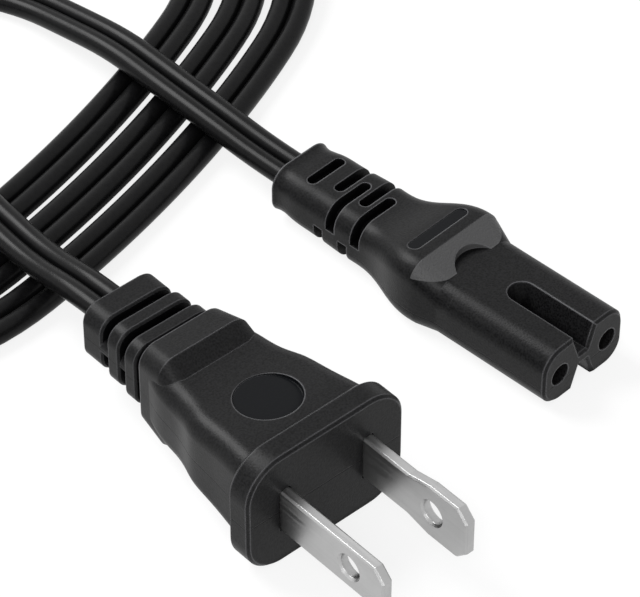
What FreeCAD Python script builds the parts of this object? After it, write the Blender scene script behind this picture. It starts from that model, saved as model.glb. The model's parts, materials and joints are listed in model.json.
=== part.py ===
"""Power cord set: a figure-eight connector, a flat twin cord with its coil, and a polarised two-blade plug.

Millimetres, +Z up. The connector lies flat on z = 0 with the origin under the middle of its length, its
engagement face toward -Y and its cord leaving toward +Y. The plug lies to the left of it on the same surface,
turned a little, and the coil of the cord lies behind both.
"""

import FreeCAD, Part

import logging
import math
import os

import Sketcher

logging.basicConfig(level=logging.INFO, format="%(message)s")
LOG = logging.getLogger("cord_set")

X_AXIS = FreeCAD.Vector(1, 0, 0)
Y_AXIS = FreeCAD.Vector(0, 1, 0)
Z_AXIS = FreeCAD.Vector(0, 0, 1)

# Driving dimensions. Stations are distances behind the engagement face or the blade face.
SIZES = {
    # Connector, outside
    "pin_pitch": 8.6,
    "nose_width": 14.4,
    "nose_height": 8.4,
    "nose_round": 3.0,
    "nose_station": 18.0,
    "ridge_station": 21.6,
    "ridge_height": 10.2,
    "shoulder_width": 15.8,
    "neck_station": 32.5,
    "neck_width": 10.8,
    "neck_height": 7.8,
    "relief_width": 10.2,
    "relief_height": 7.2,
    "relief_round": 2.7,
    "connector_length": 48.0,
    "connector_axis_height": 4.2,
    "form_overlap": 2.0,
    "ridge_breadth": 1.0,
    # Connector, nose details
    "groove_width": 3.8,
    "groove_floor_width": 1.3,
    "groove_length": 12.0,
    "web_thickness": 1.7,
    "bite_radius": 3.4,
    "bite_station": 16.7,
    "legend_width": 10.0,
    "legend_depth": 0.25,
    "legend_breadth": 1.8,
    "legend_station": 24.2,
    "face_edge_cut": 0.4,
    # Connector, strain relief slots
    "slot_breadth": 1.5,
    "slot_depth": 1.3,
    "slot_spacing": 2.15,
    "slot_first_station": 33.3,
    "slot_overlap": 1.1,
    "slot_last_station": 43.3,
    "slot_last_width": 6.2,
    "slot_seam_margin": 0.35,
    # Connector, inside
    "pin_hole": 3.0,
    "contact_bore": 2.45,
    "contact_wall": 0.32,
    "contact_set_back": 1.8,
    "contact_length": 11.5,
    "contact_slit": 0.35,
    "contact_slit_margin": 1.0,
    "carrier_wall": 0.45,
    "carrier_bridge_breadth": 3.2,
    "carrier_bridge_height": 4.8,
    "crimp_length": 4.0,
    "strand_diameter": 1.2,
    "crimp_wall": 0.35,
    "strip_length": 2.0,
    "carrier_bridge_gap": 0.8,
    "lead_straight": 3.5,
    "lead_spread_length": 8.0,
    "fit_clearance": 0.05,
    # Flat twin cord
    "cord_width": 5.7,
    "cord_thickness": 2.85,
    "wire_diameter": 2.75,
    "web_room_lead": 1.5,
    # Plug, outside
    "blade_pitch": 12.7,
    "flange_width": 24.0,
    "flange_height": 17.0,
    "flange_thickness": 3.5,
    "flange_round": 5.2,
    "flange_edge_cut": 0.4,
    "body_front_width": 20.6,
    "body_front_height": 14.0,
    "body_middle_station": 11.5,
    "body_middle_width": 18.8,
    "valley_station": 19.5,
    "valley_width": 15.6,
    "valley_height": 11.0,
    "body_round": 2.6,
    "hump_toe": 1.0,
    "hump_rise": 2.4,
    "hump_height": 14.2,
    "hump_width": 14.0,
    "hump_end_station": 26.0,
    "hump_end_height": 12.6,
    "hump_end_width": 13.0,
    "emblem_recess_diameter": 8.4,
    "emblem_recess_depth": 0.55,
    "emblem_recess_station": 10.2,
    "rib_gap": 1.3,
    "rib_thickness": 2.2,
    "end_rib_thickness": 3.7,
    "rib_root": 1.0,
    "rib_width": 12.2,
    "rib_height": 9.6,
    "rib_step": 0.5,
    "rib_round": 2.4,
    "rib_edge_cut": 0.3,
    "spine_height": 2.6,
    "spine_round": 1.2,
    "spine_set_back": 0.5,
    "core_width": 8.0,
    "core_height": 6.0,
    "core_round": 1.5,
    # Plug, blades and inside
    "blade_thickness": 1.5,
    "blade_width": 6.35,
    "blade_length": 17.5,
    "blade_hole": 3.18,
    "blade_hole_station": 11.7,
    "blade_tip_cut": 1.6,
    "blade_edge_round": 0.25,
    "blade_flare_width": 7.94,
    "blade_flare_start": 7.6,
    "blade_flare_end": 11.2,
    "blade_tail_length": 9.0,
    "blade_tail_width": 4.0,
    "blade_root_depth": 1.6,
    "blade_hole_coining": 0.3,
    "barrel_overlap": 1.0,
    "plug_lead_straight": 2.5,
    "plug_lead_spread_length": 9.0,
    "bridge_station": 4.2,
    "bridge_breadth": 3.2,
    "bridge_width": 16.4,
    "bridge_height": 8.0,
    # Lay of the set
    "plug_turn": -4.5,
    "plug_left": 39.8,
    "plug_forward": 19.1,
    # Coil of three turns, lying flat
    "coil_side_radius": 200.5,
    "coil_end_radius": 30.0,
    "coil_side_half_angle": 8.1,
    "coil_turn_pitch": 6.9,
    "coil_turns": 3.0,
    "coil_axis_turn": 13.6,
    "coil_middle_left": 10.05,
    "coil_middle_back": 45.3,
}

# Routes of the two free stretches of the cord, each point chosen by hand: from the connector over the coil's
# near side to its inner turn, and from the top of its right end over the near side to the plug.
CONNECTOR_ROUTE = (
    (0.0, 24.0, 4.2),
    (0.0, 30.0, 4.2),
    (0.4, 39.0, 4.65),
    (1.2, 50.5, 4.7),
    (2.0, 59.5, 4.6),
    (2.2, 68.6, 3.3),
    (2.3, 78.1, 1.8),
    (-1.2, 87.1, 1.45),
    (-7.8, 94.3, 1.43),
    (-16.5, 98.65, 1.43),
    (-26.25, 99.69, 1.43),
    (-35.1, 96.95, 1.43),
)
PLUG_ROUTE = (
    (22.1, 99.7, 4.35),
    (14.4, 104.2, 4.35),
    (5.7, 105.9, 4.4),
    (-3.1, 104.6, 4.9),
    (-15.4, 97.95, 4.9),
    (-24.6, 87.9, 4.5),
    (-29.5, 75.15, 4.2),
    (-30.4, 64.5, 4.3),
    (-31.5, 55.5, 4.7),
    (-33.0, 45.5, 4.85),
    (-34.9, 35.0, 5.6),
    (-36.33, 24.78, 8.4),
    (-36.82, 18.78, 8.5),
)


# Counts that belong to the design, how far a cut runs past the face that it opens, in millimetres, and the
# share of a straight run that the bend at its end takes.
REAR_SECTIONS = 10
WRAPPED_SLOTS = 4
PLUG_SECTIONS = 8
OVERRUN = 1.0
BEND_SHARE = 0.45


def make_sheet(doc):
    """Write the driving dimensions into a spreadsheet, one aliased cell each.

    Args:
        doc: The document that receives the sheet.

    Returns:
        The spreadsheet object.
    """
    sheet = doc.addObject("Spreadsheet::Sheet", "sizes")
    for row, (name, value) in enumerate(SIZES.items(), start=1):
        sheet.set(f"A{row}", name)
        sheet.set(f"B{row}", str(value))
        sheet.setAlias(f"B{row}", name)
    doc.recompute()
    return sheet


class Model:
    """The document, its sheet of sizes and the sub-parts built so far."""

    def __init__(self) -> None:
        self.doc = FreeCAD.newDocument("cord_set")
        self.sheet = make_sheet(self.doc)
        self.nodes = {}

    def size(self, name: str) -> float:
        """Return one driving dimension as a number of millimetres or degrees."""
        return float(getattr(self.sheet, name))

    def add_shape(self, label: str, shape):
        """Add a Part::Feature that holds a ready shape."""
        feature = self.doc.addObject("Part::Feature", label)
        feature.Shape = shape
        return feature

    def add_cut(self, label: str, base, tool):
        """Add a parametric cut of one object by another."""
        cut = self.doc.addObject("Part::Cut", label)
        cut.Base = base
        cut.Tool = tool
        return cut

    def add_fuse(self, label: str, members):
        """Add a parametric fusion of several objects."""
        fuse = self.doc.addObject("Part::MultiFuse", label)
        fuse.Shapes = members
        fuse.Refine = True
        return fuse

    def keep(self, node: str, feature) -> None:
        """Name an object as one sub-part of the set."""
        feature.Label = node
        self.nodes[node] = feature


def origin_plane(body, role: str):
    """Return one of a body's own origin planes."""
    return next(f for f in body.Origin.OriginFeatures if f.Role == role)


def new_sketch(body, name: str, role: str, offset: str):
    """Attach a sketch to a body's origin plane, moved along the plane's normal by an expression."""
    sketch = body.newObject("Sketcher::SketchObject", name)
    sketch.AttachmentSupport = [(origin_plane(body, role), "")]
    sketch.MapMode = "FlatFace"
    sketch.setExpression("AttachmentOffset.Base.z", offset)
    return sketch


def rounded_rectangle(sketch, model: Model, width: str, height: str, radius: str, middle: str) -> None:
    """Draw a rounded rectangle centred on the sketch's vertical axis, all four sizes bound to expressions.

    Args:
        sketch: The sketch that receives the outline.
        model: The model whose sheet the expressions name.
        width: Expression of the overall width.
        height: Expression of the overall height.
        radius: Expression of the corner radius.
        middle: Expression of the height of the outline's middle.
    """
    wide, high, round_, mid = (evaluate(model, text) for text in (width, height, radius, middle))
    left, right = -wide / 2, wide / 2
    low, top = mid - high / 2, mid + high / 2

    def line(x0, y0, x1, y1):
        sketch.addGeometry(Part.LineSegment(FreeCAD.Vector(x0, y0, 0), FreeCAD.Vector(x1, y1, 0)), False)

    def arc(x, y, start):
        circle = Part.Circle(FreeCAD.Vector(x, y, 0), Z_AXIS, round_)
        sketch.addGeometry(Part.ArcOfCircle(circle, start, start + math.pi / 2), False)

    line(left + round_, low, right - round_, low)
    line(right, low + round_, right, top - round_)
    line(right - round_, top, left + round_, top)
    line(left, top - round_, left, low + round_)
    arc(right - round_, low + round_, -math.pi / 2)
    arc(right - round_, top - round_, 0)
    arc(left + round_, top - round_, math.pi / 2)
    arc(left + round_, low + round_, math.pi)
    rule = Sketcher.Constraint
    sketch.addConstraint(
        [rule("Tangent", line_id, 2, 4 + line_id, 1) for line_id in range(4)]
        + [rule("Tangent", 4 + line_id, 2, (line_id + 1) % 4, 1) for line_id in range(4)]
        + [rule("Vertical", 1), rule("Horizontal", 2), rule("Vertical", 3)]
        + [rule("Equal", 4, 5), rule("Equal", 4, 6), rule("Equal", 4, 7)]
        + [rule("Symmetric", 0, 1, 0, 2, -2)]
    )
    for kind, arguments, value, text in (
        ("DistanceX", (3, 1, 1, 1), wide, width),
        ("DistanceY", (0, 1, 2, 1), high, height),
        ("Radius", (4,), round_, radius),
        ("DistanceY", (-1, 1, 2, 1), top, f"{middle} + ({height}) / 2"),
    ):
        index = sketch.addConstraint(rule(kind, *arguments, value))
        sketch.setExpression(f"Constraints[{index}]", text)


def polygon(sketch, model: Model, corners) -> None:
    """Draw a closed outline of straight lines whose corners are pairs of expressions."""
    points = [FreeCAD.Vector(evaluate(model, x), evaluate(model, y), 0) for x, y in corners]
    count = len(points)
    for index in range(count):
        sketch.addGeometry(Part.LineSegment(points[index], points[(index + 1) % count]), False)
    rule = Sketcher.Constraint
    sketch.addConstraint([rule("Coincident", i, 2, (i + 1) % count, 1) for i in range(count)])
    for index, (x_text, y_text) in enumerate(corners):
        for kind, value, text in (
            ("DistanceX", points[index].x, x_text),
            ("DistanceY", points[index].y, y_text),
        ):
            number = sketch.addConstraint(rule(kind, -1, 1, index, 1, value))
            sketch.setExpression(f"Constraints[{number}]", text)


def evaluate(model: Model, text: str) -> float:
    """Work out an expression of the sheet's aliases as a number."""
    return float(model.sheet.evalExpression(text.replace("sizes.", "")))


def add_pad(
    body, model: Model, name: str, sketch, length: str, reverse: bool = False, midplane: bool = False
):
    """Pad a sketch by an expression and recompute."""
    pad = body.newObject("PartDesign::Pad", name)
    pad.Profile = sketch
    pad.setExpression("Length", length)
    pad.Reversed = reverse
    pad.Midplane = midplane
    model.doc.recompute()
    return pad


def add_pocket(
    body, model: Model, name: str, sketch, length: str, reverse: bool = False, midplane: bool = False
):
    """Cut a sketch's prism out of the body and make sure that it removed something."""
    before = body.Shape.Volume
    pocket = body.newObject("PartDesign::Pocket", name)
    pocket.Profile = sketch
    pocket.setExpression("Length", length)
    pocket.Reversed = reverse
    pocket.Midplane = midplane
    model.doc.recompute()
    if not body.Shape.Volume < before - 1e-6:
        raise RuntimeError(f"{name} cut nothing")
    return pocket


def ramp(station: str, start: str, end: str) -> str:
    """Expression that eases from 0 to 1 as a station goes from start to end."""
    share = f"min(1; max(0; ({station} - {start}) / ({end} - {start})))"
    return f"({share} * {share} * (3 - 2 * {share}))"


def staged(values, stages) -> str:
    """Expression that passes from each value to the next as its stage goes from 0 to 1."""
    steps = [f"({after} - {before}) * {stage}" for before, after, stage in zip(values, values[1:], stages)]
    return "(" + " + ".join([values[0], *steps]) + ")"


def sections_loft(body, model: Model, name: str, sections):
    """Loft a body through rounded rectangles, each given as (offset, width, height, radius, middle)."""
    sketches = []
    for index, (offset, width, height, radius, middle) in enumerate(sections):
        sketch = new_sketch(body, f"{name}_section_{index}", "XZ_Plane", offset)
        rounded_rectangle(sketch, model, width, height, radius, middle)
        sketches.append(sketch)
    loft = body.newObject("PartDesign::AdditiveLoft", name)
    loft.Profile = sketches[0]
    loft.Sections = sketches[1:]
    model.doc.recompute()
    return loft


def add_chamfer(body, model: Model, name: str, size: str, wanted):
    """Bevel the edges of the body's last feature that a test accepts.

    Args:
        body: The PartDesign body.
        model: The model, for its document.
        name: Name of the feature.
        size: Expression for the bevel's leg.
        wanted: Test that takes an edge and tells whether it is bevelled.

    Returns:
        The chamfer feature.
    """
    base = body.Tip
    edges = [f"Edge{index}" for index, edge in enumerate(base.Shape.Edges, start=1) if wanted(edge)]
    chamfer = body.newObject("PartDesign::Chamfer", name)
    chamfer.Base = (base, edges)
    chamfer.setExpression("Size", size)
    model.doc.recompute()
    return chamfer


def is_round(edge) -> bool:
    """Tell whether an edge is an arc or a circle."""
    return edge.Curve.TypeId == "Part::GeomCircle"


def middle_of(edge):
    """Return the point halfway along an edge and the direction there."""
    halfway = (edge.FirstParameter + edge.LastParameter) / 2
    return edge.valueAt(halfway), edge.tangentAt(halfway)


def runs_lengthways(edge) -> bool:
    """Tell whether an edge runs mainly from the front to the rear."""
    return abs(middle_of(edge)[1].y) > 0.6


def rounded_prism(width: float, height: float, radius: float, middle: float, y_from: float, y_to: float):
    """Return a rounded-rectangle prism along Y, centred on x = 0."""
    box = Part.makeBox(width, y_to - y_from, height, FreeCAD.Vector(-width / 2, y_from, middle - height / 2))
    long_edges = [e for e in box.Edges if abs(e.tangentAt(e.FirstParameter).dot(Y_AXIS)) > 0.99]
    return box.makeFillet(radius, long_edges)


def rod(radius: float, start, end):
    """Return a solid cylinder between two points."""
    axis = end.sub(start)
    return Part.makeCylinder(radius, axis.Length, start, axis)


def route_wire(points, label: str):
    """Join straight runs by tangent arcs, each as large as its two runs allow.

    Args:
        points: The route's corners, as vectors.
        label: Name for the printed radii.

    Returns:
        The path as one wire.
    """
    edges = []
    last = points[0]
    radii = []
    for before, corner, after in zip(points, points[1:], points[2:]):
        toward = corner.sub(before)
        away = after.sub(corner)
        turn = toward.getAngle(away)
        reach = BEND_SHARE * min(toward.Length, away.Length)
        radii.append(reach / math.tan(turn / 2))
        start = corner.sub(FreeCAD.Vector(toward).normalize().multiply(reach))
        end = corner.add(FreeCAD.Vector(away).normalize().multiply(reach))
        bisector = start.add(end).multiply(0.5).sub(corner).normalize()
        radius = radii[-1]
        centre = corner.add(FreeCAD.Vector(bisector).multiply(radius / math.cos(turn / 2)))
        middle = centre.sub(FreeCAD.Vector(bisector).multiply(radius))
        edges.append(Part.makeLine(last, start))
        edges.append(Part.Arc(start, middle, end).toShape())
        last = end
    edges.append(Part.makeLine(last, points[-1]))
    LOG.info("%s radii: %s", label, ", ".join(f"{value:.0f}" for value in radii))
    return Part.Wire(edges)


def sweep(path, section, mitred: bool = False):
    """Sweep a closed section along a path, keeping its width level, into one solid."""
    shell = Part.BRepOffsetAPI.MakePipeShell(path)
    shell.setBiNormalMode(Z_AXIS)
    shell.setTransitionMode(1 if mitred else 0)
    shell.add(section)
    shell.build()
    shell.makeSolid()
    return shell.shape()


def round_section(start, direction, radius: float):
    """Return a circular wire square to a direction."""
    return Part.Wire([Part.makeCircle(radius, start, direction)])


def flat_section(start, direction, width: float, thickness: float):
    """Return the outline of the flat cord: two straight sides and two half rounds, its width level."""
    side = direction.cross(Z_AXIS).normalize()
    up = side.cross(direction).normalize()
    half = (width - thickness) / 2
    round_ = thickness / 2

    def at(across, above):
        return start.add(FreeCAD.Vector(side).multiply(across)).add(FreeCAD.Vector(up).multiply(above))

    return Part.Wire(
        [
            Part.makeLine(at(-half, round_), at(half, round_)),
            Part.Arc(at(half, round_), at(half + round_, 0), at(half, -round_)).toShape(),
            Part.makeLine(at(half, -round_), at(-half, -round_)),
            Part.Arc(at(-half, -round_), at(-half - round_, 0), at(-half, round_)).toShape(),
        ]
    )


def trimmed_section(start, direction, width: float, thickness: float):
    """Return the outline of the flat cord with its half rounds drawn as three straight sides each."""
    side = direction.cross(Z_AXIS).normalize()
    up = side.cross(direction).normalize()
    cut = thickness * (1 - math.sqrt(0.5))
    wide, low = width / 2, thickness / 2
    quarter = [(wide, low - cut), (wide - cut, low)]
    upper = quarter + [(-across, above) for across, above in reversed(quarter)]
    corners = upper + [(-across, -above) for across, above in upper]
    points = [
        start.add(FreeCAD.Vector(side).multiply(across)).add(FreeCAD.Vector(up).multiply(above))
        for across, above in corners
    ]
    return Part.makePolygon([*points, points[0]])


def station_offset(station: str) -> str:
    """Expression that moves an XZ sketch to a station behind the connector's face."""
    return f"sizes.connector_length / 2 - ({station})"


def open_slot(sketch, model: Model, width: str, front: str, centre: str) -> None:
    """Draw a slot, open in front, whose half-round rear end is centred on the sketch's vertical axis."""
    half = evaluate(model, width) / 2
    y_front, y_centre = evaluate(model, front), evaluate(model, centre)

    def line(x0, y0, x1, y1):
        sketch.addGeometry(Part.LineSegment(FreeCAD.Vector(x0, y0, 0), FreeCAD.Vector(x1, y1, 0)), False)

    line(half, y_front, half, y_centre)
    circle = Part.Circle(FreeCAD.Vector(0, y_centre, 0), Z_AXIS, half)
    sketch.addGeometry(Part.ArcOfCircle(circle, 0, math.pi), False)
    line(-half, y_centre, -half, y_front)
    line(-half, y_front, half, y_front)
    rule = Sketcher.Constraint
    sketch.addConstraint(
        [rule("Tangent", 0, 2, 1, 1), rule("Tangent", 1, 2, 2, 1), rule("Coincident", 2, 2, 3, 1)]
        + [rule("Coincident", 3, 2, 0, 1), rule("Vertical", 0), rule("Horizontal", 3)]
        + [rule("PointOnObject", 1, 3, -2)]
    )
    for kind, arguments, value, text in (
        ("Radius", (1,), half, f"({width}) / 2"),
        ("DistanceY", (-1, 1, 1, 3), y_centre, centre),
        ("DistanceY", (-1, 1, 3, 1), y_front, front),
    ):
        index = sketch.addConstraint(rule(kind, *arguments, value))
        sketch.setExpression(f"Constraints[{index}]", text)


def circles(sketch, model: Model, centres, diameter: str) -> None:
    """Draw equal circles whose centres are pairs of expressions."""
    rule = Sketcher.Constraint
    for index, (x_text, y_text) in enumerate(centres):
        x, y = evaluate(model, x_text), evaluate(model, y_text)
        sketch.addGeometry(Part.Circle(FreeCAD.Vector(x, y, 0), Z_AXIS, evaluate(model, diameter) / 2), False)
        for kind, arguments, value, text in (
            ("DistanceX", (-1, 1, index, 3), x, x_text),
            ("DistanceY", (-1, 1, index, 3), y, y_text),
            ("Diameter", (index,), evaluate(model, diameter), diameter),
        ):
            number = sketch.addConstraint(rule(kind, *arguments, value))
            sketch.setExpression(f"Constraints[{number}]", text)


def build_nose(model: Model):
    """Model the figure-eight nose: a rounded block, its two grooves and its two pin entries."""
    body = model.doc.addObject("PartDesign::Body", "nose")
    axis = "sizes.connector_axis_height"
    outline = new_sketch(body, "nose_outline", "XZ_Plane", station_offset("0"))
    rounded_rectangle(outline, model, "sizes.nose_width", "sizes.nose_height", "sizes.nose_round", axis)
    add_pad(body, model, "nose_block", outline, "sizes.ridge_station", reverse=True)
    for name, sign in (("top", "+"), ("bottom", "-")):
        mouth = new_sketch(body, f"{name}_groove_mouth", "XY_Plane", f"{axis} {sign} sizes.nose_height / 2")
        floor = new_sketch(body, f"{name}_groove_floor", "XY_Plane", f"{axis} {sign} sizes.web_thickness / 2")
        front = f"-sizes.connector_length / 2 - {OVERRUN}"
        centre = "sizes.groove_length - sizes.groove_width / 2 - sizes.connector_length / 2"
        open_slot(mouth, model, "sizes.groove_width", front, centre)
        open_slot(floor, model, "sizes.groove_floor_width", front, centre)
        groove = body.newObject("PartDesign::SubtractiveLoft", f"{name}_groove")
        groove.Profile = mouth
        groove.Sections = [floor]
        model.doc.recompute()
    face_y = -model.size("connector_length") / 2

    def on_face(edge) -> bool:
        return all(abs(vertex.Y - face_y) < 1e-4 for vertex in edge.Vertexes)

    add_chamfer(body, model, "face_edges", "sizes.face_edge_cut", on_face)
    entries = new_sketch(body, "pin_entry_circles", "XZ_Plane", station_offset("0"))
    circles(entries, model, [("-sizes.pin_pitch / 2", axis), ("sizes.pin_pitch / 2", axis)], "sizes.pin_hole")
    add_pocket(body, model, "pin_entries", entries, "sizes.contact_set_back")
    return body


def build_rear_form(model: Model):
    """Model the shoulder, neck and strain relief as one loft, with the facet behind the nose cut into it."""
    axis = "sizes.connector_axis_height"
    rear = model.doc.addObject("PartDesign::Body", "shoulder_and_relief")
    front = "(sizes.nose_station - sizes.form_overlap)"
    crest = "(sizes.ridge_station + sizes.ridge_breadth)"
    widths = ("sizes.nose_width", "sizes.shoulder_width", "sizes.neck_width", "sizes.relief_width")
    tops = (
        "sizes.ridge_height",
        "sizes.ridge_height",
        f"({axis} + sizes.neck_height / 2)",
        f"({axis} + sizes.relief_height / 2)",
    )
    lows = ("0", "0", f"({axis} - sizes.neck_height / 2)", f"({axis} - sizes.relief_height / 2)")
    sections = []
    for index in range(REAR_SECTIONS + 1):
        station = f"({front} + (sizes.connector_length - {front}) * {index} / {REAR_SECTIONS})"
        stages = (
            ramp(station, front, crest),
            ramp(station, crest, "sizes.neck_station"),
            ramp(station, "sizes.neck_station", "sizes.connector_length"),
        )
        width = staged(widths, stages)
        top = staged(tops, stages)
        low = staged(lows, stages)
        sections.append(
            (station_offset(station), width, f"{top} - {low}", "sizes.relief_round", f"({top} + {low}) / 2")
        )
    sections_loft(rear, model, "rear_form", sections)

    ridge = "sizes.ridge_station - sizes.connector_length / 2"
    tall = f"sizes.ridge_height + {OVERRUN}"
    facet = new_sketch(rear, "facet_profile", "YZ_Plane", "0")
    nose_top = "sizes.connector_axis_height + sizes.nose_height / 2"
    facet_start = "sizes.nose_station - sizes.connector_length / 2"
    in_front = f"{front} - sizes.connector_length / 2 - {OVERRUN}"
    polygon(
        facet,
        model,
        [
            (in_front, nose_top),
            (facet_start, nose_top),
            (ridge, "sizes.ridge_height"),
            (ridge, tall),
            (in_front, tall),
        ],
    )
    add_pocket(rear, model, "facet", facet, "sizes.shoulder_width * 2", midplane=True)
    return rear


def relief_slots(model: Model):
    """Return the staggered slots of the strain relief, upper and lower, as one cutting solid."""
    length = model.size("connector_length")
    axis = model.size("connector_axis_height")
    breadth, depth = model.size("slot_breadth"), model.size("slot_depth")
    width, height = model.size("neck_width"), model.size("neck_height")
    core = rounded_prism(
        model.size("relief_width") - 2 * depth,
        model.size("relief_height") - 2 * depth,
        model.size("relief_round") - depth / 2,
        axis,
        -length,
        length,
    )
    seam = model.size("slot_seam_margin")
    slots = []
    for index in range(WRAPPED_SLOTS):
        y = model.size("slot_first_station") + index * model.size("slot_spacing") - length / 2
        side = -1 if index % 2 == 0 else 1
        start = -side * model.size("slot_overlap")
        low_corner = FreeCAD.Vector(min(start, side * width), y - breadth / 2, axis + seam)
        slab = Part.makeBox(abs(side * width - start), breadth, height, low_corner)
        end = Part.makeCylinder(breadth / 2, height, FreeCAD.Vector(start, y, axis + seam))
        slots.append(slab.fuse(end))
    y = model.size("slot_last_station") - length / 2
    half = model.size("slot_last_width") / 2 - breadth / 2
    middle = Part.makeBox(2 * half, breadth, height, FreeCAD.Vector(-half, y - breadth / 2, axis + seam))
    ends = [Part.makeCylinder(breadth / 2, height, FreeCAD.Vector(x, y, axis + seam)) for x in (-half, half)]
    slots.append(middle.fuse(ends))
    upper = slots[0].fuse(slots[1:])
    lower = upper.copy()
    lower.rotate(FreeCAD.Vector(0, 0, axis), Y_AXIS, 180)
    return upper.fuse(lower).cut(core).removeSplitter()


def crimp_radius(model: Model) -> float:
    """Outer radius of a crimp barrel round the stripped strands."""
    return model.size("strand_diameter") / 2 + model.size("fit_clearance") + model.size("crimp_wall")


def lead_route(
    model: Model, half_pitch: float, z: float, start: float, apart: float, together: float, end: float
):
    """Return the centre line of one insulated wire, from its contact to the flat cord at the rear."""
    close = model.size("cord_width") / 2 - model.size("cord_thickness") / 2
    points = [(half_pitch, start), (half_pitch, apart), (close, together), (close, end)]
    return [FreeCAD.Vector(x, y, z) for x, y in points]


def wire_chain(model: Model, route, crimp_start: float, gap: float):
    """Return one wire's solids from crimp to rear, grown by a gap: crimp room, strands and insulated wire."""
    first = route[0]
    strip = FreeCAD.Vector(first.x, first.y - model.size("strip_length"), first.z)
    crimp_from = FreeCAD.Vector(first.x, crimp_start, first.z)
    crimp = rod(crimp_radius(model) + gap, crimp_from, strip)
    strands = rod(model.size("strand_diameter") / 2 + gap, strip, first)
    radius = model.size("wire_diameter") / 2 + gap
    wire = sweep(Part.makePolygon(route), round_section(first, Y_AXIS, radius), mitred=True)
    return crimp.fuse([strands, wire])


def flat_prism(model: Model, z: float, y_from: float, y_to: float, gap: float):
    """Return a straight prism of the flat cord's section along Y, grown by a gap."""
    start = FreeCAD.Vector(0, y_from, z)
    width = model.size("cord_width") + 2 * gap
    section = flat_section(start, Y_AXIS, width, model.size("cord_thickness") + 2 * gap)
    return Part.Face(section).extrude(FreeCAD.Vector(0, y_to - y_from, 0))


def connector_stations(model: Model) -> dict:
    """Work out where the inner pieces of the connector start and end, as Y coordinates."""
    face = -model.size("connector_length") / 2
    contact = face + model.size("contact_set_back")
    crimp = contact + model.size("contact_length")
    strip = crimp + model.size("crimp_length")
    lead = strip + model.size("strip_length")
    bridge = face + model.size("groove_length") + model.size("carrier_bridge_gap")
    return {
        "face": face,
        "contact": contact,
        "crimp": crimp,
        "strip": strip,
        "lead": lead,
        "apart": lead + model.size("lead_straight"),
        "together": lead + model.size("lead_straight") + model.size("lead_spread_length"),
        "bridge": bridge,
        "bridge_end": bridge + model.size("carrier_bridge_breadth"),
        "rear": -face,
    }


def carrier_solid(model: Model, gap: float, bored: bool):
    """Return the contact carrier: two tubes joined by a bridge behind the grooves, grown by a gap."""
    at = connector_stations(model)
    z = model.size("connector_axis_height")
    half = model.size("pin_pitch") / 2
    room = model.size("contact_bore") / 2 + model.size("contact_wall") + model.size("fit_clearance")
    outer = room + model.size("carrier_wall") + gap
    bridge = Part.makeBox(
        2 * half,
        at["bridge_end"] - at["bridge"] + 2 * gap,
        model.size("carrier_bridge_height") + 2 * gap,
        FreeCAD.Vector(-half, at["bridge"] - gap, z - model.size("carrier_bridge_height") / 2 - gap),
    )
    ends = [
        (FreeCAD.Vector(x, at["contact"], z), FreeCAD.Vector(x, at["bridge_end"] + gap, z))
        for x in (-half, half)
    ]
    carrier = bridge.fuse([rod(outer, start, end) for start, end in ends])
    if bored:
        left, right = (rod(room, start, end) for start, end in ends)
        carrier = carrier.cut(left.fuse(right))
    return carrier.removeSplitter()


def build_contact(model: Model, side: str, sign: int) -> None:
    """Model one socket contact: a slit spring sleeve for the pin with a crimp barrel behind it."""
    body = model.doc.addObject("PartDesign::Body", f"socket_contact_{side}")
    profile = new_sketch(body, f"contact_profile_{side}", "XY_Plane", "0")
    start = "sizes.contact_set_back - sizes.connector_length / 2"
    crimp = f"{start} + sizes.contact_length"
    bore = "sizes.contact_bore / 2"
    outside = "sizes.contact_bore / 2 + sizes.contact_wall"
    barrel = "sizes.strand_diameter / 2 + sizes.fit_clearance"
    polygon(
        profile,
        model,
        [
            (bore, start),
            (outside, start),
            (outside, crimp),
            (f"{barrel} + sizes.crimp_wall", crimp),
            (f"{barrel} + sizes.crimp_wall", f"{crimp} + sizes.crimp_length"),
            (barrel, f"{crimp} + sizes.crimp_length"),
            (barrel, f"{crimp} - sizes.contact_wall"),
            (bore, f"{crimp} - sizes.contact_wall"),
        ],
    )
    turn = body.newObject("PartDesign::Revolution", f"contact_turn_{side}")
    turn.Profile = profile
    turn.ReferenceAxis = (profile, ["V_Axis"])
    turn.Angle = 360
    model.doc.recompute()
    slit = new_sketch(body, f"contact_slit_{side}", "XY_Plane", "0")
    beyond = f"{outside} + {OVERRUN}"
    slit_end = f"{crimp} - sizes.contact_wall - sizes.contact_slit_margin"
    mouth = f"{start} - {OVERRUN}"
    polygon(slit, model, [("0", mouth), (beyond, mouth), (beyond, slit_end), ("0", slit_end)])
    add_pocket(body, model, f"contact_slit_cut_{side}", slit, "sizes.contact_slit", midplane=True)
    body.setExpression("Placement.Base.x", f"{sign} * sizes.pin_pitch / 2")
    body.setExpression("Placement.Base.z", "sizes.connector_axis_height")
    model.keep(f"socket_contact_{side}", body)


def build_wires(model: Model, prefix: str, half_pitch: float, z: float, at: dict, placement=None) -> None:
    """Model the two insulated wires of one end of the cord and the bare strands in their crimps."""
    for side, sign in (("left", -1), ("right", 1)):
        route = lead_route(model, half_pitch, z, at["lead"], at["apart"], at["together"], at["rear"])
        route = [FreeCAD.Vector(sign * point.x, point.y, point.z) for point in route]
        section = round_section(route[0], Y_AXIS, model.size("wire_diameter") / 2)
        wire = sweep(Part.makePolygon(route), section, mitred=True)
        lead = model.add_shape(f"{prefix}_lead_{side}", wire)
        start = FreeCAD.Vector(route[0].x, at["crimp"] + model.size("crimp_wall"), z)
        strands = model.add_shape(
            f"{prefix}_strands_{side}", rod(model.size("strand_diameter") / 2, start, route[0])
        )
        for node, feature in ((f"{prefix}_lead_{side}", lead), (f"{prefix}_strands_{side}", strands)):
            if placement:
                feature.Placement = placement
            model.keep(node, feature)


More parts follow.
